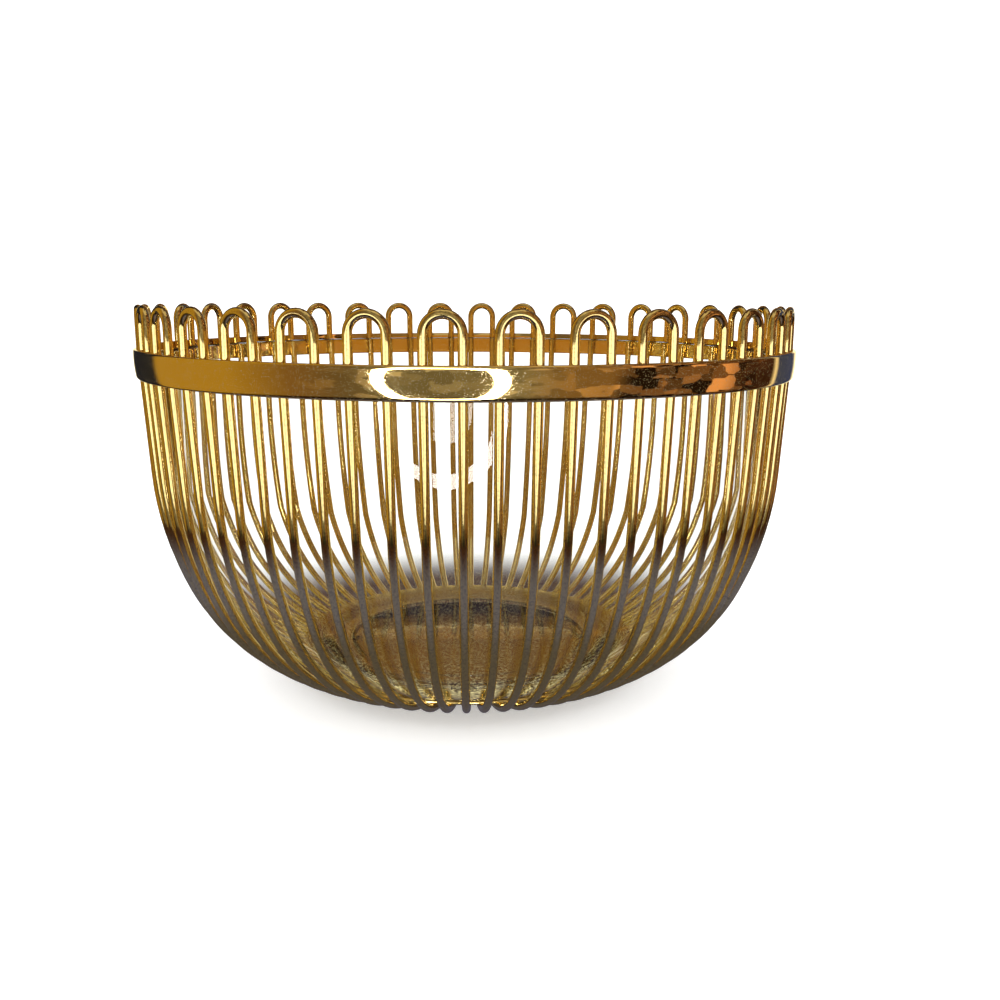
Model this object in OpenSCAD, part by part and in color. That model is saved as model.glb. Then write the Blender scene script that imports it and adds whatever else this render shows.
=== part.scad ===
// Round wire basket with a clear lift-out bowl. Bent hairpin wires stand side by side around a
// dished base, a crowned band runs around them below their loops, and the basket stands on pads.

/* [Overall] */
// Outside diameter, measured over the crown of the rim band
rim_d = 240; // [190:1:300]
// Height from the table to the top of the wire loops
overall_h = 140; // [115:1:175]

/* [Wires] */
// Number of hairpin wires, each with two legs
hairpins = 36; // [24:1:40]
// Wire diameter
wire_d = 2.8; // [2.2:0.1:3.4]
// Distance between the centre lines of a hairpin's two legs at the rim
loop_w = 10.7; // [8.5:0.1:13]
// Height of the loops above the rim band
loop_rise = 14.7; // [10:0.1:20]
// Space left between neighbouring wires at their lower tips
tip_gap = 0.4; // [0.3:0.1:2]
// Length of each wire that lies flat under the base dish
tip_flat = 5; // [3:0.5:10]
// Depth of the welds where a wire meets the band and the dish
weld = 0.15; // [0.1:0.05:0.3]

/* [Wall shape] */
// Outward lean of the straight wall, in degrees
lean = 2.9; // [1:0.1:5]
// Height of the straight wall, down from the top of the rim band
wall_h = 43; // [25:1:50]
// Slope of the wires where the lower arc meets the upper arc, in degrees
knee = 65.3; // [60:0.1:70]
// Radius of the small bend that stands the loops upright above the band
bend_r = 20; // [10:1:40]

/* [Rim band] */
// Height of the band
band_h = 9.8; // [8:0.1:14]
// Thickness of the band at its crown
band_t = 1.5; // [1.2:0.1:2.5]
// How far the outer face bulges between its two edges
band_crown = 0.3; // [0.3:0.1:1]

/* [Base] */
// Sheet thickness of the dish
dish_t = 1.2; // [0.8:0.1:2]
// How far the dish's rising flange reaches out past its flat floor
flange_reach = 22.5; // [15:0.5:30]
// Number of foot pads
pads = 4; // [3:1:6]
// Diameter of a foot pad
pad_d = 12.7; // [8:0.1:15]
// Height of a foot pad
pad_h = 3.3; // [3:0.1:5]
// Rounding of a pad's lower edge
pad_round = 0.8; // [0.3:0.1:1.2]
// Space between a pad and the wire tips around it
pad_margin = 2; // [1:0.5:5]

/* [Clear bowl] */
// Wall thickness
bowl_t = 3; // [2:0.1:4]
// Thickness of the flat floor
floor_t = 4.5; // [4:0.1:7]
// Space between the bowl and the dish that it stands in
bowl_gap = 0.4; // [0.3:0.1:1]
// How far the foot reaches out past the dish's flat floor
foot_reach = 8.5; // [4:0.5:12]
// Width of the ring that the bowl stands on
foot_ring_w = 5; // [3:0.5:10]
// Depth of the recess inside that ring
foot_recess = 0.8; // [0.4:0.1:1.2]
// How far the bowl's lip lies below the top of the rim band
lip_drop = 2; // [0:0.5:10]

/* [Hidden] */
$fn = 96;
gold = [0.85, 0.66, 0.26];
clear = [0.86, 0.91, 0.93, 0.4];

wire_r = wire_d / 2;
pitch = 360 / hairpins;
// Every other stretch of a wire is thinner by seat and runs a lap into its neighbours, so that
// the stretches join into one solid
seat = 0.02;
lap = 0.2;
band_top = overall_h - loop_rise;
// Centre lines of the legs above the band, inside the band's crown
leg_r = rim_d / 2 - band_t + weld - wire_r + band_h / 2 * tan(lean);
half_pair = asin(loop_w / 2 / leg_r);
loop_r = leg_r * sin(half_pair);
loop_z = overall_h - wire_r - loop_r;
// The tips end where the closest two wires still have tip_gap between them
closest = min(2 * half_pair, pitch - 2 * half_pair);
tip_r = (wire_d + tip_gap) / (2 * sin(closest / 2));
floor_r = tip_r + tip_flat;
wire_z = pad_h + weld - wire_r;

// Wall: two arcs rise from the flat tips to the straight wall, tangent where they meet
wall_z = band_top - wall_h;
wall_r = leg_r - bend_r * (1 - cos(lean)) - wall_h * tan(lean);
rise = wall_z - wire_z;
reach = wall_r - floor_r;
low_out = sin(knee);
low_up = 1 - cos(knee);
high_out = cos(lean) - sin(knee);
high_up = cos(knee) - sin(lean);
det = low_out * high_up - high_out * low_up;
low_r = (reach * high_up - high_out * rise) / det;
high_r = (low_out * rise - low_up * reach) / det;
low_c = [floor_r, wire_z + low_r];
high_c = [wall_r - high_r * cos(lean), wall_z + high_r * sin(lean)];
bend_c = [leg_r - bend_r, band_top + bend_r * sin(lean)];

// Rim band: an outer face with a crown, and edges rounded over
crown_r = pow(band_h / 2, 2) / (2 * band_crown) + band_crown / 2;
band_edge = (band_t - band_crown) / 2;
band_in_r = leg_r - bend_r * (1 - cos(lean)) + (wire_r - weld) / cos(lean);

// Dish: it follows the wires at this distance inside their centre lines
dish_in = wire_r - weld + dish_t / 2;
flange_a = asin(flange_reach / (low_r - dish_in));
pad_ring_r = tip_r - pad_margin - pad_d / 2;

// Bowl: its outer face follows the wires too, clear of the dish
bowl_in = wire_r - weld + dish_t + bowl_gap;
bowl_mid = bowl_in + bowl_t / 2;
foot_r = floor_r + foot_reach;
foot_a = asin(foot_reach / (low_r - bowl_in));
foot_z = low_c[1] - (low_r - bowl_in) * cos(foot_a);
lip_z = band_top - lip_drop;
floor_z = foot_z + floor_t;
// The floor ends where it meets the inner face of the wall
floor_end_a = acos((low_c[1] - floor_z) / (low_r - bowl_in - bowl_t));
floor_end_r = low_c[0] + (low_r - bowl_in - bowl_t) * sin(floor_end_a);
// A point inside the wall there, so that the floor's outline overlaps the wall's
floor_end_mid = low_c + (low_r - bowl_mid) * [sin(floor_end_a), -cos(floor_end_a)];

function two_digits(i) = str(i < 10 ? "0" : "", i);

// A round bar bent along an arc in the XZ plane, from angle a0 to a1 around centre c
module bent_bar(c, r, a0, a1, bar_r = wire_r, more = 0) {
    over = more / r * 180 / PI;
    translate([c[0], 0, c[1]])
        rotate([90, over - a0, 0])
            rotate_extrude(angle = a1 - a0 + 2 * over)
                translate([r, 0])
                    circle(bar_r);
}

// A strip of thickness t along an arc in a flat outline, from angle a0 to a1 around centre c
module arc_strip(c, r, t, a0, a1) {
    far = 2 * (r + t);
    translate(c)
        intersection() {
            difference() {
                circle(r + t / 2);
                circle(r - t / 2);
            }
            polygon(concat([[0, 0]], [for (a = [a0, (a0 + a1) / 2, a1]) far * [cos(a), sin(a)]]));
        }
}

// One leg in the XZ plane, from its flat tip under the dish up to the foot of the loop
module leg() {
    translate([tip_r, 0, wire_z])
        rotate([0, 90, 0])
            cylinder(r = wire_r - seat, h = tip_flat + lap);
    bent_bar(low_c, low_r, -90, knee - 90);
    bent_bar(high_c, high_r, knee - 90, -lean, wire_r - seat, lap);
    translate([wall_r, 0, wall_z])
        rotate([0, lean, 0])
            cylinder(r = wire_r, h = wall_h / cos(lean));
    bent_bar(bend_c, bend_r, -lean, 0, wire_r - seat, lap);
    translate([leg_r, 0, bend_c[1]])
        cylinder(r = wire_r, h = loop_z - bend_c[1]);
}

// A hairpin: two legs in planes through the basket's axis, joined by a half-round loop
module hairpin(i) {
    color(gold)
        rotate([0, 0, (i - 1) * pitch - 90]) {
            for (side = [-1, 1])
                rotate([0, 0, side * half_pair])
                    leg();
            translate([leg_r * cos(half_pair), 0, 0])
                rotate([0, 0, 90])
                    bent_bar([0, loop_z], loop_r, 0, 180, wire_r - seat, lap);
        }
}

// The band leans with the wall, so that its inner face lies along the wires
module rim_band() {
    edge_y = band_h / 2 - band_edge;
    color(gold)
        rotate_extrude()
            translate([band_in_r, band_top])
                rotate(-lean)
                    translate([0, -band_h / 2]) {
                        intersection() {
                            translate([0, -edge_y])
                                square([band_t, 2 * edge_y]);
                            translate([band_t - crown_r, 0])
                                circle(crown_r, $fn = 5 * $fn);
                        }
                        for (side = [-1, 1])
                            translate([band_edge, side * edge_y])
                                circle(band_edge);
                    }
}

// A pressed dish: a flat floor, and a flange that rises along the wires to a rounded edge
module base_dish() {
    flange_r = low_r - dish_in;
    color(gold)
        rotate_extrude() {
            translate([0, pad_h])
                square([floor_r, dish_t]);
            arc_strip(low_c, flange_r, dish_t, -90, flange_a - 90);
            translate(low_c + flange_r * [sin(flange_a), -cos(flange_a)])
                circle(dish_t / 2);
        }
}

// A clear bowl: thick flat floor on a standing ring, curved wall, rounded lip
module liner_bowl() {
    knee_mid = low_c + (low_r - bowl_mid) * [sin(knee), -cos(knee)];
    top_mid_r = high_c[0] + (high_r - bowl_mid) * cos(lean);
    top_mid_z = high_c[1] - (high_r - bowl_mid) * sin(lean);
    lip_h = (lip_z - bowl_t / 2 - top_mid_z) / cos(lean);
    color(clear)
        rotate_extrude()
            difference() {
                union() {
                    polygon([[0, foot_z], [foot_r, foot_z], floor_end_mid,
                        [floor_end_r, floor_z], [0, floor_z]]);
                    arc_strip(low_c, low_r - bowl_mid, bowl_t, foot_a - 90, knee - 90);
                    arc_strip(high_c, high_r - bowl_mid, bowl_t, knee - 90, -lean);
                    // Rounds inside the wall tie its stretches together
                    for (joint = [knee_mid, [top_mid_r, top_mid_z]])
                        translate(joint)
                            circle(bowl_t / 2 - seat);
                    translate([top_mid_r, top_mid_z])
                        rotate(-lean) {
                            translate([-bowl_t / 2, 0])
                                square([bowl_t, lip_h]);
                            translate([0, lip_h])
                                circle(bowl_t / 2);
                        }
                }
                translate([0, foot_z - foot_recess])
                    square([foot_r - foot_ring_w, 2 * foot_recess]);
            }
}

// A clear pad stuck under the dish, inside the ring of wire tips
module foot_pad(i) {
    color(clear)
        rotate([0, 0, (i - 0.5) * 360 / pads])
            translate([pad_ring_r, 0])
                rotate_extrude() {
                    square([pad_d / 2 - pad_round, pad_h]);
                    translate([0, pad_round])
                        square([pad_d / 2, pad_h - pad_round]);
                    translate([pad_d / 2 - pad_round, pad_round])
                        circle(pad_round);
                }
}

rim_band();
base_dish();
liner_bowl();
for (i = [1 : pads])
    foot_pad(i);
for (i = [1 : hairpins])
    hairpin(i);
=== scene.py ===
# Wire produce basket: gold hairpin wires, a mirror rim band, a pressed dish and a clear bowl.
import math

import bmesh
import bpy
from mathutils import Matrix, Vector


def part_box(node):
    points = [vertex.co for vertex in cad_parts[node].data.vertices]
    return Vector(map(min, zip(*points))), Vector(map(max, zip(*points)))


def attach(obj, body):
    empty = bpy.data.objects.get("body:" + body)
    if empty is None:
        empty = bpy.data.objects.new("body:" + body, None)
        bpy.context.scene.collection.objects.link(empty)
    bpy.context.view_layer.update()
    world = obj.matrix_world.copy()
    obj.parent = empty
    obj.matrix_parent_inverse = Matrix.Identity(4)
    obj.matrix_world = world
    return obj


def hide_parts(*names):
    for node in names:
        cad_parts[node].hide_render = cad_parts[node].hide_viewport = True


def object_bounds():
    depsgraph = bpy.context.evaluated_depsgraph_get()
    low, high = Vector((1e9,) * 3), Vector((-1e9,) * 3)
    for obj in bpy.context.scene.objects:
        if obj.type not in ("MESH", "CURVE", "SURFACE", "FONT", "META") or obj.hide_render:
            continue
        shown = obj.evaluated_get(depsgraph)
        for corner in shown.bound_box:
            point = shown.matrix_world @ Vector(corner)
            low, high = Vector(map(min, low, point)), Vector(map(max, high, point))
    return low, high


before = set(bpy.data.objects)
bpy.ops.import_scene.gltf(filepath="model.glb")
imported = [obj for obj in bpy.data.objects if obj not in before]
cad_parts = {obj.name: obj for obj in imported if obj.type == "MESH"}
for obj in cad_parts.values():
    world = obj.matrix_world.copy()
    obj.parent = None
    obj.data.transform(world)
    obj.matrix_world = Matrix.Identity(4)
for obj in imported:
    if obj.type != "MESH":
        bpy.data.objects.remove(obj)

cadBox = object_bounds()
mm = 0.001  # pieces are drawn in millimetres, and finished in metres
merge = 1e-3  # points of a piece closer than this, in millimetres, are one point
white = (1, 1, 1, 1)


# Drawing an outline with a pen in the XZ plane, and turning it on the basket's axis
def penAt(bm, x, z):
    return bmesh.ops.create_vert(bm, co=(x, 0, z))["vert"][0]


def penTo(bm, tip, x, z):
    tip = bmesh.ops.extrude_vert_indiv(bm, verts=[tip])["verts"][0]
    tip.co = (x, 0, z)
    return tip


def penArc(bm, tip, centre, angle, steps):
    made = bmesh.ops.spin(bm, geom=[tip], cent=(centre[0], 0, centre[1]), axis=(0, -1, 0),
                          angle=angle, steps=steps)
    return [v for v in made["geom_last"] if isinstance(v, bmesh.types.BMVert)][0]


def turnOutline(bm, turns):
    bmesh.ops.remove_doubles(bm, verts=bm.verts, dist=merge)
    bmesh.ops.spin(bm, geom=bm.verts[:] + bm.edges[:], cent=(0, 0, 0), axis=(0, 0, 1),
                   angle=2 * math.pi, steps=turns, use_merge=True)
    bmesh.ops.remove_doubles(bm, verts=bm.verts, dist=merge)
    bmesh.ops.recalc_face_normals(bm, faces=bm.faces)


def roundEdges(bm, offset, segments, chosen):
    sharp = math.radians(30)
    edges = [e for e in bm.edges if e.is_manifold and e.calc_face_angle() > sharp and chosen(e)]
    bmesh.ops.bevel(bm, geom=edges, offset=offset, segments=segments, affect="EDGES", profile=0.5,
                    material=-1, clamp_overlap=True)


def turnAbout(bm, angle, axis="Z"):
    bmesh.ops.rotate(bm, verts=bm.verts, cent=(0, 0, 0), matrix=Matrix.Rotation(angle, 3, axis))


def addObject(bm, name, finish):
    mesh = bpy.data.meshes.new(name)
    bm.to_mesh(mesh)
    bm.free()
    mesh.materials.append(finish)
    made = bpy.data.objects.new(name, mesh)
    bpy.context.scene.collection.objects.link(made)
    return made


def finishPiece(bm, name, finish, body, node):
    bmesh.ops.remove_doubles(bm, verts=bm.verts, dist=merge)
    bmesh.ops.recalc_face_normals(bm, faces=bm.faces)
    bmesh.ops.scale(bm, vec=(mm, mm, mm), verts=bm.verts)
    piece = addObject(bm, name, finish)
    piece.data.shade_smooth()
    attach(piece, body)
    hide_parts(node)
    return piece


# Wiring nodes: owner is a material or the world, and a value is a number, a colour or a socket.
# In the dictionaries a noise is its scale and detail, a bump its strength and distance, and a range
# its two ends, followed by what they become where that isn't 0 and 1. Finishes, camera and studio
# are in metres.
def feed(owner, socket, value):
    if isinstance(value, bpy.types.NodeSocket):
        owner.node_tree.links.new(value, socket)
    else:
        socket.default_value = value


def feedAll(owner, sockets, values):
    for socket, value in zip(sockets, values):
        feed(owner, socket, value)


def addNode(owner, kind, **values):
    node = owner.node_tree.nodes.new(kind)
    for key, value in values.items():
        if key in node.inputs:
            feed(owner, node.inputs[key], value)
        else:
            setattr(node, key, value)
    return node


def newFinish(name, **values):
    mat = bpy.data.materials.new(name)
    mat.use_nodes = True
    shader = mat.node_tree.nodes["Principled BSDF"]
    for key, value in values.items():
        shader.inputs[key].default_value = value
    return mat, shader


def placeOn(mat):
    return addNode(mat, "ShaderNodeTexCoord").outputs["Object"]


def partsOf(owner, vector):
    return addNode(owner, "ShaderNodeSeparateXYZ", Vector=vector).outputs


def noise(mat, place, scale, detail):
    return addNode(mat, "ShaderNodeTexNoise", Vector=place, Scale=scale, Detail=detail).outputs["Fac"]


def mathOf(owner, operation, *values):
    node = addNode(owner, "ShaderNodeMath", operation=operation)
    feedAll(owner, node.inputs, values)
    return node.outputs[0]


def vectorOf(owner, operation, *values):
    node = addNode(owner, "ShaderNodeVectorMath", operation=operation)
    feedAll(owner, node.inputs, values)
    return node.outputs["Value" if operation in ("LENGTH", "DOT_PRODUCT") else "Vector"]


def ranged(owner, value, fromMin, fromMax, toMin=0, toMax=1, smooth=False):
    node = addNode(owner, "ShaderNodeMapRange", Value=value,
                   interpolation_type="SMOOTHSTEP" if smooth else "LINEAR")
    for name, end in (("From Min", fromMin), ("From Max", fromMax), ("To Min", toMin), ("To Max", toMax)):
        node.inputs[name].default_value = end
    return node.outputs[0]


def mixColours(owner, factor, low, high):
    mix = addNode(owner, "ShaderNodeMix", data_type="RGBA")
    feed(owner, mix.inputs[0], factor)
    feedAll(owner, [s for s in mix.inputs if s.type == "RGBA"], (low, high))
    return [s for s in mix.outputs if s.type == "RGBA"][0]


def mixShaders(owner, factor, low, high):
    mix = addNode(owner, "ShaderNodeMixShader")
    feedAll(owner, mix.inputs, (factor, low, high))
    return mix.outputs[0]


def rampOf(owner, value, stops, interpolation="LINEAR"):
    ramp = addNode(owner, "ShaderNodeValToRGB")
    ramp.color_ramp.interpolation = interpolation
    feed(owner, ramp.inputs[0], value)
    marks = ramp.color_ramp.elements
    while len(marks) < len(stops):
        marks.new(0.5)
    for mark, (position, colour) in zip(marks, stops):
        mark.position = position
        mark.color = colour
    return ramp.outputs


def glowOf(mat, colour, strength):
    return addNode(mat, "ShaderNodeEmission", Color=colour, Strength=strength).outputs[0]


def clearOf(mat):
    return addNode(mat, "ShaderNodeBsdfTransparent").outputs[0]


def depthOf(owner, name):
    # 1 for light that has met a surface of this kind before, and 0 for what is seen directly
    return mathOf(owner, "GREATER_THAN", addNode(owner, "ShaderNodeLightPath").outputs[name], 0.5)


def showAs(owner, shader):
    output = "World Output" if owner == bpy.context.scene.world else "Material Output"
    feed(owner, owner.node_tree.nodes[output].inputs["Surface"], shader)


def bumpOf(mat, height, strength, distance):
    return addNode(mat, "ShaderNodeBump", Height=height, Strength=strength,
                   Distance=distance).outputs[0]


# Hairpin wires: each is bent from one length, with flat tips, two legs and a loop
wire = dict(diameter=2.8, count=36, loopWidth=10.7, loopRise=14.7, tipGap=0.4, tipFlat=5, weld=0.15,
            sides=24, tipRound=0.5, gold=(0.96, 0.8, 0.36, 1), deepGold=(0.92, 0.7, 0.26, 1),
            pitGold=(0.5, 0.4, 0.2, 1), platingNoise=(90, 3), pitNoise=(1700, 2),
            pitted=(0.46, 0.66, 0, 0.5), grainNoise=(900, 2), roughness=(0.06, 0.11), bump=(0.06, 0.0001))
wall = dict(lean=2.9, straight=43, knee=65.3, bendRadius=20)  # the wires, band, dish and bowl follow it


def drawnWireFinish():
    # Plated wire: die lines smear its highlights round the section, and the plating is a little uneven
    mat, shader = newFinish("drawn_gold_wire", Metallic=1, Anisotropic=0.8)
    place = placeOn(mat)
    feed(mat, shader.inputs["Tangent"], vectorOf(mat, "CROSS_PRODUCT", place, (0, 0, 1)))
    plating = mixColours(mat, noise(mat, place, *wire["platingNoise"]), wire["deepGold"], wire["gold"])
    pitted = ranged(mat, noise(mat, place, *wire["pitNoise"]), *wire["pitted"])
    feed(mat, shader.inputs["Base Color"], mixColours(mat, pitted, plating, wire["pitGold"]))
    grain = noise(mat, place, *wire["grainNoise"])
    feed(mat, shader.inputs["Roughness"], ranged(mat, grain, 0, 1, *wire["roughness"]))
    feed(mat, shader.inputs["Normal"], bumpOf(mat, grain, *wire["bump"]))
    return mat


def runOn(bm, ring, step):
    made = bmesh.ops.extrude_edge_only(bm, edges=ring)["geom"]
    verts = [g for g in made if isinstance(g, bmesh.types.BMVert)]
    bmesh.ops.translate(bm, verts=verts, vec=step)
    ends = set(verts)
    return [g for g in made if isinstance(g, bmesh.types.BMEdge) and set(g.verts) <= ends]


def bendOn(bm, ring, centre, axis, angle, steps):
    made = bmesh.ops.spin(bm, geom=ring, cent=centre, axis=axis, angle=angle, steps=steps)
    return [g for g in made["geom_last"] if isinstance(g, bmesh.types.BMEdge)]


def hairpin(number, finish):
    # One leg is bent from its tip up to the top of the loop, then mirrored into the other
    bm = bmesh.new()
    p = plan
    place = Matrix.Translation((p["tipR"], 0, p["wireZ"])) @ Matrix.Rotation(math.pi / 2, 4, "Y")
    bmesh.ops.create_circle(bm, cap_ends=True, radius=p["radius"], segments=wire["sides"], matrix=place)
    tip = bm.edges[:]
    ring = runOn(bm, tip, (wire["tipFlat"], 0, 0))
    across = (0, -1, 0)
    ring = bendOn(bm, ring, (p["lowC"][0], 0, p["lowC"][1]), across, p["knee"], 20)
    ring = bendOn(bm, ring, (p["highC"][0], 0, p["highC"][1]), across, p["highAngle"], 8)
    ring = runOn(bm, ring, (wall["straight"] * math.tan(p["lean"]), 0, wall["straight"]))
    ring = bendOn(bm, ring, (p["bendC"][0], 0, p["bendC"][1]), across, p["lean"], 2)
    ring = runOn(bm, ring, (0, 0, p["loopZ"] - p["bendC"][1]))
    bmesh.ops.bevel(bm, geom=tip, offset=wire["tipRound"], segments=3, affect="EDGES", profile=0.5,
                    material=-1)
    turnAbout(bm, p["halfPair"])
    top = (p["legR"] * math.cos(p["halfPair"]), 0, p["loopZ"])
    bendOn(bm, ring, top, (1, 0, 0), math.pi / 2, 9)
    bmesh.ops.mirror(bm, geom=bm.verts[:] + bm.edges[:] + bm.faces[:], axis="Y", merge_dist=merge)
    turnAbout(bm, (number - 1) * p["pitch"] - math.pi / 2)
    return finishPiece(bm, "wire_%02d" % number, finish, "basket", "hairpin_%02d" % number)


# Rim band: a crowned strip ring that leans with the wall
band = dict(height=9.8, thickness=1.5, crown=0.3, outerEdge=0.7, innerEdge=0.3, turns=240,
            gold=(0.94, 0.72, 0.3, 1), dust=(0.8, 0.66, 0.4, 1), dustNoise=(2800, 1), dusty=(0.61, 0.74),
            dustMetallic=0.8, roughness=(0.035, 0.22), waveNoise=(25, 3), bump=(0.03, 0.0002))


def mirrorBandFinish():
    # Mirror-polished plating with fine dust on it
    mat, shader = newFinish("mirror_gold_band", Metallic=1)
    place = placeOn(mat)
    speck = ranged(mat, noise(mat, place, *band["dustNoise"]), *band["dusty"])
    feed(mat, shader.inputs["Base Color"], mixColours(mat, speck, band["gold"], band["dust"]))
    feed(mat, shader.inputs["Metallic"], ranged(mat, speck, 0, 1, 1, band["dustMetallic"]))
    feed(mat, shader.inputs["Roughness"], ranged(mat, speck, 0, 1, *band["roughness"]))
    feed(mat, shader.inputs["Normal"], bumpOf(mat, noise(mat, place, *band["waveNoise"]), *band["bump"]))
    return mat


def rimBand(finish):
    bm = bmesh.new()
    height, thick, crown = band["height"], band["thickness"], band["crown"]
    crownR = (height / 2) ** 2 / (2 * crown) + crown / 2
    tip = first = penAt(bm, 0, -height / 2)
    tip = penTo(bm, tip, thick - crown, -height / 2)
    tip = penArc(bm, tip, (thick - crownR, 0), 2 * math.asin(height / 2 / crownR), 16)
    tip = penTo(bm, tip, 0, height / 2)
    penTo(bm, tip, first.co.x, first.co.z)
    lean = plan["lean"]
    inner = plan["legR"] - wall["bendRadius"] * (1 - math.cos(lean))
    inner += (plan["radius"] - wire["weld"]) / math.cos(lean)
    bmesh.ops.translate(bm, verts=bm.verts, vec=(0, 0, -height / 2))
    turnAbout(bm, lean, "Y")
    bmesh.ops.translate(bm, verts=bm.verts, vec=(inner, 0, plan["bandTop"]))
    turnOutline(bm, band["turns"])
    middle = inner + thick / 3
    roundEdges(bm, band["outerEdge"], 4, lambda e: e.verts[0].co.xy.length > middle)
    roundEdges(bm, band["innerEdge"], 3, lambda e: e.verts[0].co.xy.length < middle)
    return finishPiece(bm, "rim_band_strip", finish, "basket", "rim_band")


# Base dish: a flat floor, a flange along the wires, and a rounded edge
dish = dict(sheet=1.2, flangeReach=22.5, turns=180, cloudNoise=(120, 4), roughness=(0.08, 0.22),
            bump=(0.15, 0.0003))


def dishFinish():
    mat, shader = newFinish("pressed_gold_dish", Metallic=1)
    cloud = noise(mat, placeOn(mat), *dish["cloudNoise"])
    feed(mat, shader.inputs["Base Color"], mixColours(mat, cloud, wire["deepGold"], wire["gold"]))
    feed(mat, shader.inputs["Roughness"], ranged(mat, cloud, 0, 1, *dish["roughness"]))
    feed(mat, shader.inputs["Normal"], bumpOf(mat, cloud, *dish["bump"]))
    return mat


def baseDish(finish):
    bm = bmesh.new()
    low, sheet, centre = pad["height"], dish["sheet"], plan["lowC"]
    outer = plan["lowR"] - plan["radius"] + wire["weld"]
    rimR = outer - sheet / 2
    rise = math.asin(dish["flangeReach"] / rimR)
    tip = penAt(bm, 0, low)
    tip = penTo(bm, tip, plan["floorR"], low)
    tip = penArc(bm, tip, centre, rise, 10)
    rim = (centre[0] + rimR * math.sin(rise), centre[1] - rimR * math.cos(rise))
    tip = penArc(bm, tip, rim, math.pi, 8)
    tip = penArc(bm, tip, centre, -rise, 10)
    penTo(bm, tip, 0, low + sheet)
    turnOutline(bm, dish["turns"])
    return finishPiece(bm, "base_dish_pressing", finish, "basket", "base_dish")


# Liner bowl: clear, with a foot ring, a thick floor, a wall along the wires and a rounded lip
bowl = dict(wall=3, floor=4.5, gap=0.4, footReach=8.5, footWidth=5, footRecess=0.8, lipDrop=2,
            floorBlend=20, edge=0.6, turns=192, tint=(0.97, 0.985, 0.98, 1), waveNoise=(18, 1),
            stippleScale=420, stippled=(0.0095, 0.0075, 0, 0.35), bump=(0.05, 0.0008),
            swell=((0.045, 0), (0.085, 0.09), (0.112, 0)))


def glassFinish():
    # Pressed glass: faintly wavy, and stippled under its floor
    mat, shader = newFinish("clear_glass", Roughness=0.0, IOR=1.5)
    shader.inputs["Transmission Weight"].default_value = 1
    shader.inputs["Base Color"].default_value = bowl["tint"]
    place = placeOn(mat)
    height = partsOf(mat, place)["Z"]
    stipple = addNode(mat, "ShaderNodeTexVoronoi", Vector=place, Scale=bowl["stippleScale"])
    below = ranged(mat, height, *bowl["stippled"])
    wave = noise(mat, place, *bowl["waveNoise"])
    pressed = mathOf(mat, "MULTIPLY_ADD", stipple.outputs["Distance"], below, wave)
    bump = bumpOf(mat, pressed, *bowl["bump"])
    # Between its lip and its knee the wall's normals turn down a little, as if the wall swelled there; its
    # shape stays as drawn
    swell = addNode(mat, "ShaderNodeFloatCurve", Value=height)
    points = swell.mapping.curves[0].points
    points[-1].location = (1, 0)
    for level, turn in bowl["swell"]:
        points.new(level, turn)
    swell.mapping.update()
    outward = vectorOf(mat, "MULTIPLY", place, (1, 1, 0))
    facing = vectorOf(mat, "DOT_PRODUCT", vectorOf(mat, "NORMALIZE", outward), bump)
    down = mathOf(mat, "MULTIPLY", mathOf(mat, "MULTIPLY", facing, swell.outputs[0]), -1)
    turned = vectorOf(mat, "ADD", bump, addNode(mat, "ShaderNodeCombineXYZ", Z=down).outputs[0])
    feed(mat, shader.inputs["Normal"], vectorOf(mat, "NORMALIZE", turned))
    return mat


def linerBowl(finish):
    bm = bmesh.new()
    p = plan
    inset = p["radius"] - wire["weld"] + dish["sheet"] + bowl["gap"]
    lowOut = p["lowR"] - inset
    footA = math.asin(bowl["footReach"] / lowOut)
    footZ = p["lowC"][1] - lowOut * math.cos(footA)
    footR = p["floorR"] + bowl["footReach"]
    floorZ = footZ + bowl["floor"]
    recess = bowl["footRecess"]
    tip = penAt(bm, 0, footZ + recess)
    tip = penTo(bm, tip, footR - bowl["footWidth"] - recess, footZ + recess)
    tip = penTo(bm, tip, footR - bowl["footWidth"], footZ)
    tip = penTo(bm, tip, footR, footZ)
    tip = penArc(bm, tip, p["lowC"], p["knee"] - footA, 24)
    tip = penArc(bm, tip, p["highC"], p["highAngle"], 10)
    lipZ = p["bandTop"] - bowl["lipDrop"] - bowl["wall"] / 2
    rise = (lipZ - tip.co.z) / math.cos(p["lean"])
    up = Vector((math.sin(p["lean"]), 0, math.cos(p["lean"]))) * rise
    tip = penTo(bm, tip, tip.co.x + up.x, tip.co.z + up.z)
    half = bowl["wall"] / 2
    lip = (tip.co.x - half * math.cos(p["lean"]), tip.co.z + half * math.sin(p["lean"]))
    tip = penArc(bm, tip, lip, math.pi, 10)
    tip = penTo(bm, tip, tip.co.x - up.x, tip.co.z - up.z)
    tip = penArc(bm, tip, p["highC"], -p["highAngle"], 10)
    # The wall runs into the flat floor through a blend
    blend = bowl["floorBlend"]
    reach = lowOut - bowl["wall"] - blend
    drop = p["lowC"][1] - floorZ - blend
    blendA = math.acos(drop / reach)
    tip = penArc(bm, tip, p["lowC"], -(p["knee"] - blendA), 24)
    blendX = p["lowC"][0] + reach * math.sin(blendA)
    tip = penArc(bm, tip, (blendX, floorZ + blend), -blendA, 6)
    penTo(bm, tip, 0, floorZ)
    turnOutline(bm, bowl["turns"])
    roundEdges(bm, bowl["edge"], 3, lambda e: e.verts[0].co.z < footZ + 2 * recess)
    return finishPiece(bm, "liner_bowl_glass", finish, "liner", "liner_bowl")


# Bumper pads, stuck under the dish
pad = dict(count=4, diameter=12.7, height=3.3, edge=0.8, margin=2, turns=48, tint=(0.82, 0.9, 0.93, 1),
           grainNoise=(600, 2), roughness=(0.15, 0.3))


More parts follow.
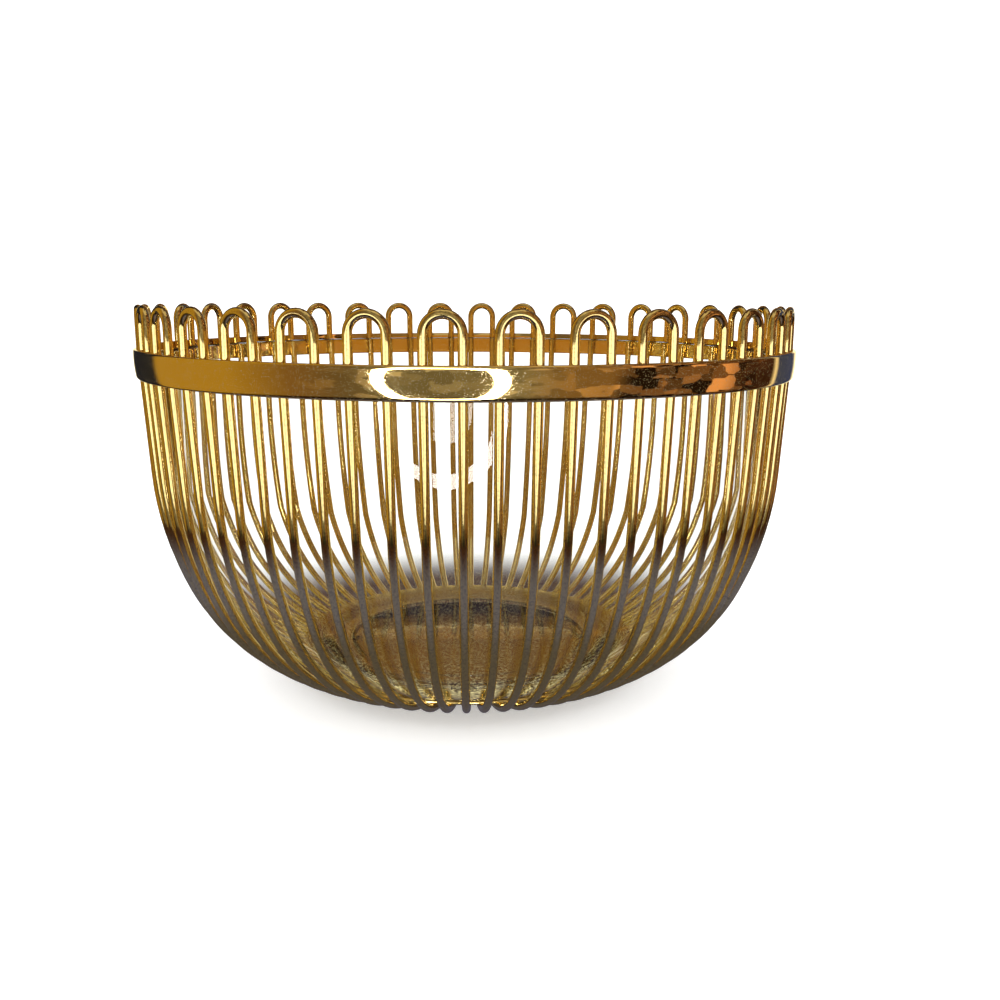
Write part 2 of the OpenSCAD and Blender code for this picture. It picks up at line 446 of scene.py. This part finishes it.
def padFinish():
    mat, shader = newFinish("clear_soft_plastic", IOR=1.45)
    shader.inputs["Transmission Weight"].default_value = 0.9
    shader.inputs["Base Color"].default_value = pad["tint"]
    grain = noise(mat, placeOn(mat), *pad["grainNoise"])
    feed(mat, shader.inputs["Roughness"], ranged(mat, grain, 0, 1, *pad["roughness"]))
    return mat


def footPad(number, finish):
    bm = bmesh.new()
    edge, radius = pad["edge"], pad["diameter"] / 2
    tip = penAt(bm, 0, 0)
    tip = penTo(bm, tip, radius - edge, 0)
    tip = penArc(bm, tip, (radius - edge, edge), math.pi / 2, 6)
    tip = penTo(bm, tip, radius, pad["height"])
    penTo(bm, tip, 0, pad["height"])
    turnOutline(bm, pad["turns"])
    turn = (number - 0.5) * 2 * math.pi / pad["count"]
    ringR = plan["tipR"] - pad["margin"] - radius
    bmesh.ops.translate(bm, verts=bm.verts, vec=(ringR * math.cos(turn), ringR * math.sin(turn), 0))
    return finishPiece(bm, "bumper_pad_%d" % number, finish, "basket",
                       "foot_pad_%d" % number)


# The pieces share the line that the wires' centres follow, from their tips to their loops
def wallPlan():
    lean, knee = math.radians(wall["lean"]), math.radians(wall["knee"])
    radius = wire["diameter"] / 2
    low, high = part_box("rim_band")
    rim = round((high.x - low.x) / mm) / 2
    height = round(cadBox[1].z / mm)
    pitch = 2 * math.pi / wire["count"]
    p = dict(lean=lean, knee=knee, radius=radius, pitch=pitch, highAngle=math.pi / 2 - lean - knee)
    p["bandTop"] = height - wire["loopRise"]
    p["legR"] = rim - band["thickness"] + wire["weld"] - radius + band["height"] / 2 * math.tan(lean)
    p["halfPair"] = math.asin(wire["loopWidth"] / 2 / p["legR"])
    p["loopZ"] = height - radius - wire["loopWidth"] / 2
    closest = min(2 * p["halfPair"], pitch - 2 * p["halfPair"])
    p["tipR"] = (wire["diameter"] + wire["tipGap"]) / (2 * math.sin(closest / 2))
    p["floorR"] = p["tipR"] + wire["tipFlat"]
    p["wireZ"] = pad["height"] + wire["weld"] - radius
    wallZ = p["bandTop"] - wall["straight"]
    wallR = p["legR"] - wall["bendRadius"] * (1 - math.cos(lean)) - wall["straight"] * math.tan(lean)
    # Two arcs rise from the flat tips to the straight wall, tangent where they meet
    rise, reach = wallZ - p["wireZ"], wallR - p["floorR"]
    lowOut, lowUp = math.sin(knee), 1 - math.cos(knee)
    highOut, highUp = math.cos(lean) - math.sin(knee), math.cos(knee) - math.sin(lean)
    cross = lowOut * highUp - highOut * lowUp
    p["lowR"] = (reach * highUp - highOut * rise) / cross
    highR = (lowOut * rise - lowUp * reach) / cross
    p["lowC"] = (p["floorR"], p["wireZ"] + p["lowR"])
    p["highC"] = (wallR - highR * math.cos(lean), wallZ + highR * math.sin(lean))
    p["bendC"] = (p["legR"] - wall["bendRadius"], p["bandTop"] + wall["bendRadius"] * math.sin(lean))
    return p


plan = wallPlan()
wireFinish = drawnWireFinish()
wires = [hairpin(number, wireFinish) for number in range(1, wire["count"] + 1)]
print("wires bent")
others = [rimBand(mirrorBandFinish()), baseDish(dishFinish())]  # what the ring lamp lights
print("band and dish done")
others.append(linerBowl(glassFinish()))
clearPad = padFinish()
others += [footPad(number, clearPad) for number in range(1, pad["count"] + 1)]
print("bowl and pads done")


# Camera: it stands in front and looks a little down
shot = dict(turn=3.3, distance=0.37935, height=0.14304, pitch=11.67, yaw=1.87, roll=0.23, lens=35.44,
            sensor=36, near=0.01)


def studioCamera():
    data = bpy.data.cameras.new("studio_camera")
    data.lens = shot["lens"]
    data.sensor_width = shot["sensor"]
    data.clip_start = shot["near"]
    camera = bpy.data.objects.new("studio_camera", data)
    bpy.context.scene.collection.objects.link(camera)
    camera.matrix_world = (Matrix.Rotation(math.radians(shot["turn"]), 4, "Z")
                           @ Matrix.Translation((0, -shot["distance"], shot["height"]))
                           @ Matrix.Rotation(math.radians(-shot["yaw"]), 4, "Z")
                           @ Matrix.Rotation(math.radians(90 - shot["pitch"]), 4, "X")
                           @ Matrix.Rotation(math.radians(shot["roll"]), 4, "Z"))
    bpy.context.scene.camera = camera


# Studio floor: pale to the eye, slate in the metal, and with a painted shadow under the basket seen through
# the glass
floor = dict(size=6, pale=(0.9, 0.9, 0.9, 1), glow=0.4, grainNoise=(700, 3), slateRadius=0.26,
             underFade=(0.11, 0.15), edgeFade=(0.17, 0.25), frontFade=(0.08, -0.02), paintedShadowFade=(0.18, 0.1),
             flecked=(0.48, 0.57), under=((0.05, 0.045, 0.06, 1), (0.13, 0.125, 0.17, 1)),
             slate=((0.06, 0.065, 0.13, 1), (0.19, 0.2, 0.42, 1)), edge=(0.045, 0.02, 0.012, 1),
             flecks=((0.05, 0.025, 0.01, 1), (1.3, 1.1, 0.5, 1)),
             # painted shadow colours: the dark brown that the ground under the basket glows, seen through the
             # glass
             paintedShadow=((0.03, 0.016, 0.013, 1), (0.13, 0.08, 0.065, 1)))


def paleFloor():
    bm = bmesh.new()
    bmesh.ops.create_grid(bm, x_segments=1, y_segments=1, size=floor["size"])
    mat, pale = newFinish("pale_floor", Roughness=0.9)
    pale.inputs["Base Color"].default_value = floor["pale"]
    pale.inputs["Specular IOR Level"].default_value = 0
    pale.inputs["Emission Color"].default_value = white
    pale.inputs["Emission Strength"].default_value = floor["glow"]
    place = placeOn(mat)
    far = vectorOf(mat, "LENGTH", place)
    grain = noise(mat, place, *floor["grainNoise"])
    throughGlass = depthOf(mat, "Transmission Depth")
    # Metal mirrors the ground in front as slate: grey near the wires, and dark brown further out
    under = mixColours(mat, grain, *floor["under"])
    slate = mixColours(mat, grain, *floor["slate"])
    slate = mixColours(mat, ranged(mat, far, *floor["underFade"], smooth=True), under, slate)
    slate = mixColours(mat, ranged(mat, far, *floor["edgeFade"], smooth=True), slate, floor["edge"])
    flecks = mixColours(mat, ranged(mat, grain, *floor["flecked"]), *floor["flecks"])
    slate = mixColours(mat, throughGlass, slate, flecks)
    front = ranged(mat, partsOf(mat, place)["Y"], *floor["frontFade"], smooth=True)
    inside = mathOf(mat, "LESS_THAN", far, floor["slateRadius"])
    mirrored = mixShaders(mat, mathOf(mat, "MULTIPLY", front, inside), clearOf(mat), glowOf(mat, slate, 1))
    # Painted shadow: through the glass the ground under the basket glows dark brown, and clears outwards
    paintedShadow = ranged(mat, far, *floor["paintedShadowFade"], smooth=True)
    paintedShadowGlow = glowOf(mat, mixColours(mat, grain, *floor["paintedShadow"]), 1)
    direct = mixShaders(mat, mathOf(mat, "MULTIPLY", throughGlass, paintedShadow), pale.outputs[0], paintedShadowGlow)
    final = mixShaders(mat, depthOf(mat, "Glossy Depth"), direct, mirrored)
    showAs(mat, final)
    addObject(bm, "studio_floor", mat)


# Backdrop: white to the eye, and a dim room in the mirror of the metal
room = dict(
    white=1.5, ceiling=(0.6, 0.5, 0.34, 1), ceilingFade=(0.84, 0.97), dark=(-0.44, -0.33, 0.12, 1),
    # Shares of the shelves' boxes, from the darkest, and how bright each is lit
    shelfScale=9, shelfGlow=7, shelfLights=((0, 0.015), (0.3, 0.1), (0.5, 0.2), (0.7, 0.35), (0.87, 1)),
    # Degrees round from the camera's side to the right, the room's colour there, and how cluttered it is
    sides=((-180, (0.015, 0.015, 0.02), 0), (-123, (0.015, 0.015, 0.02), 0), (-119, (0.42, 0.25, 0.035), 0),
           (-80, (0.4, 0.24, 0.035), 0), (-55, (0.2, 0.11, 0.04), 0), (-36, (0.14, 0.1, 0.06), 0.1),
           (-20, (0.2, 0.17, 0.12), 0.25), (20, (0.2, 0.17, 0.12), 0.25), (35, (0.24, 0.14, 0.06), 0.2),
           (50, (0.22, 0.12, 0.05), 0.1), (57, (0.12, 0.06, 0.03), 1), (95, (0.12, 0.055, 0.025), 1),
           (108, (0.04, 0.016, 0.008), 0.6), (126, (0.04, 0.014, 0.006), 0), (127.5, (1, 0.8, 0.5), 0),
           (129, (1, 0.8, 0.5), 0), (130.5, (0.05, 0.06, 0.13), 0), (160, (0.045, 0.055, 0.12), 0),
           (179.9, (0.015, 0.015, 0.02), 0)),
    # Heights behind the basket, and the colours that the dish and the thick glass show there
    layers=((-0.6, (0.1, 0.06, 0.04)), (-0.2, (1, 0.9, 0.6)), (0.1, (1, 0.85, 0.5)),
            (0.14, (0.08, 0.045, 0.03)), (0.3, (0.06, 0.035, 0.025)), (0.325, (0.5, 0.22, 0.04)),
            (0.34, (0.06, 0.03, 0.02)), (0.385, (0.07, 0.04, 0.025)), (0.41, (0.15, 0.08, 0.03)),
            (0.55, (0.12, 0.07, 0.03)), (0.7, (0.05, 0.03, 0.02))),
    layerTop=0.8, layerGlow=1.6, behind=(0.86, 0.93))


def roomAndBackdrop():
    world = bpy.data.worlds.new("studio_backdrop")
    bpy.context.scene.world = world
    world.use_nodes = True
    world.cycles.sampling_method = "NONE"
    way = addNode(world, "ShaderNodeTexCoord").outputs["Generated"]
    part = partsOf(world, way)
    bearing = mathOf(world, "ARCTAN2", part["X"], mathOf(world, "MULTIPLY", part["Y"], -1))
    side = rampOf(world, ranged(world, bearing, -math.pi, math.pi),
                  [((degrees + 180) / 360, (*colour, amount)) for degrees, colour, amount in room["sides"]])
    # Boxes and shelves, some lit and some dark
    shelves = addNode(world, "ShaderNodeTexVoronoi", distance="CHEBYCHEV", Vector=way,
                      Scale=room["shelfScale"]).outputs["Color"]
    lit = rampOf(world, partsOf(world, shelves)["X"],
                 [(share, (glow, glow, glow, 1)) for share, glow in room["shelfLights"]], "CONSTANT")
    clutter = addNode(world, "ShaderNodeMix", Factor=side["Alpha"], A=1,
                      B=mathOf(world, "MULTIPLY", lit["Color"], room["shelfGlow"])).outputs[0]
    # The room is dark low down, where the wires turn to the ground, and evenly lit overhead
    low = ranged(world, part["Z"], *room["dark"], smooth=True)
    above = ranged(world, part["Z"], *room["ceilingFade"], smooth=True)
    strength = addNode(world, "ShaderNodeMix", Factor=above, B=1,
                       A=mathOf(world, "MULTIPLY", clutter, low)).outputs[0]
    sides = world.node_tree.nodes["Background"]
    feed(world, sides.inputs["Color"], mixColours(world, above, side["Color"], room["ceiling"]))
    feed(world, sides.inputs["Strength"], strength)
    bottom, top = room["layers"][0][0], room["layerTop"]
    layers = rampOf(world, ranged(world, part["Z"], bottom, top),
                    [((height - bottom) / (top - bottom), (*colour, 1)) for height, colour in room["layers"]])
    rear = addNode(world, "ShaderNodeBackground", Color=layers["Color"], Strength=room["layerGlow"])
    level = vectorOf(world, "NORMALIZE", vectorOf(world, "MULTIPLY", way, (1, 1, 0)))
    behind = ranged(world, partsOf(world, level)["Y"], *room["behind"], smooth=True)
    mirrored = mixShaders(world, behind, sides.outputs[0], rear.outputs[0])
    plain = addNode(world, "ShaderNodeBackground", Color=white, Strength=room["white"])
    final = mixShaders(world, depthOf(world, "Glossy Depth"), plain.outputs[0], mirrored)
    showAs(world, final)


# Lamps in front: each lights its own pieces only, and stands a little to the left of the lens
lampStand = dict(side=-0.054, ahead=0.262)


def lampPlace(height):
    away = plan["legR"] * mm + lampStand["ahead"]
    return (Matrix.Rotation(math.radians(shot["turn"]), 4, "Z")
            @ Matrix.Translation((lampStand["side"], -away, height)))


def lampFinish(name, colour, power):
    # The glow is clear as well, so that pieces it doesn't light see through it
    mat = newFinish(name)[0]
    both = addNode(mat, "ShaderNodeAddShader")
    feedAll(mat, both.inputs, (glowOf(mat, colour, power), clearOf(mat)))
    showAs(mat, both.outputs[0])
    return mat


def lightOnly(lamp, litPieces):
    lit = bpy.data.collections.new("lit_by_" + lamp.name)
    for piece in litPieces:
        lit.objects.link(piece)
    lamp.light_linking.receiver_collection = lit


def hideLamp(lamp):
    # It isn't seen itself, and doesn't light the floor
    lamp.visible_camera = False
    lamp.visible_diffuse = False


tubeRing = dict(radius=0.127, width=0.0285, height=0.075, power=20, colour=(1, 0.97, 0.9, 1))


def ringLamp(litPieces):
    # A round tube lamp that leans back as the lens does
    bm = bmesh.new()
    inner = tubeRing["radius"] - tubeRing["width"]
    bmesh.ops.create_circle(bm, cap_ends=False, radius=inner, segments=96)
    made = bmesh.ops.extrude_edge_only(bm, edges=bm.edges[:])["geom"]
    grow = tubeRing["radius"] / inner
    bmesh.ops.scale(bm, verts=[g for g in made if isinstance(g, bmesh.types.BMVert)], vec=(grow, grow, 1))
    tilt = Matrix.Rotation(math.radians(90 - shot["pitch"]), 4, "X")
    bmesh.ops.transform(bm, matrix=lampPlace(tubeRing["height"]) @ tilt, verts=bm.verts)
    lamp = addObject(bm, "ring_lamp", lampFinish("lamp_glow", tubeRing["colour"], tubeRing["power"]))
    hideLamp(lamp)
    lightOnly(lamp, litPieces)


# Half of the panel's outline, from the slit in its middle outwards and back
softPanel = dict(outline=((0.02, 0.125), (0.4, 0.125), (0.44, 0.095), (0.44, 0.06), (0.264, 0.01),
                          (0.02, -0.02)), power=1.6)


def wirePanel(litPieces):
    # A wide soft panel under the lamp, open in the middle for the lens
    bm = bmesh.new()
    for side in (-1, 1):
        start, *rest = softPanel["outline"]
        pen = penAt(bm, side * start[0], start[1])
        for x, z in rest:
            pen = penTo(bm, pen, side * x, z)
    for side in (-1, 1):
        bmesh.ops.contextual_create(bm, geom=[e for e in bm.edges if e.verts[0].co.x * side > 0])
    bmesh.ops.transform(bm, matrix=lampPlace(0), verts=bm.verts)
    lamp = addObject(bm, "wire_panel", lampFinish("panel_glow", white, softPanel["power"]))
    hideLamp(lamp)
    lamp.visible_transmission = False
    lamp.visible_shadow = False
    lightOnly(lamp, litPieces)


warmBall = dict(radius=0.066, height=0.09, colour=(1, 0.46, 0.08, 1), power=(0.03, 0.1, 0.1, 0.45),
                shown=(0.06, 0.08))


def warmGlow():
    # Warm light inside the bowl; its underside and its inner side let light pass
    bm = bmesh.new()
    bmesh.ops.create_uvsphere(bm, u_segments=32, v_segments=16, radius=warmBall["radius"],
                              matrix=Matrix.Translation((0, 0, warmBall["height"])))
    mat = newFinish("warm_glow")[0]
    height = partsOf(mat, placeOn(mat))["Z"]
    shine = glowOf(mat, warmBall["colour"], ranged(mat, height, *warmBall["power"]))
    backs = addNode(mat, "ShaderNodeNewGeometry").outputs["Backfacing"]
    outer = mathOf(mat, "MULTIPLY", depthOf(mat, "Glossy Depth"), ranged(mat, backs, 0, 1, 1, 0))
    shows = mathOf(mat, "MULTIPLY", outer, ranged(mat, height, *warmBall["shown"]))
    showAs(mat, mixShaders(mat, shows, clearOf(mat), shine))
    lamp = addObject(bm, "warm_glow", mat)
    hideLamp(lamp)
    lamp.visible_shadow = False


studioCamera()
paleFloor()
roomAndBackdrop()
ringLamp(others)
wirePanel(wires)
warmGlow()
bpy.context.scene.view_settings.view_transform = "Standard"
print("studio set")
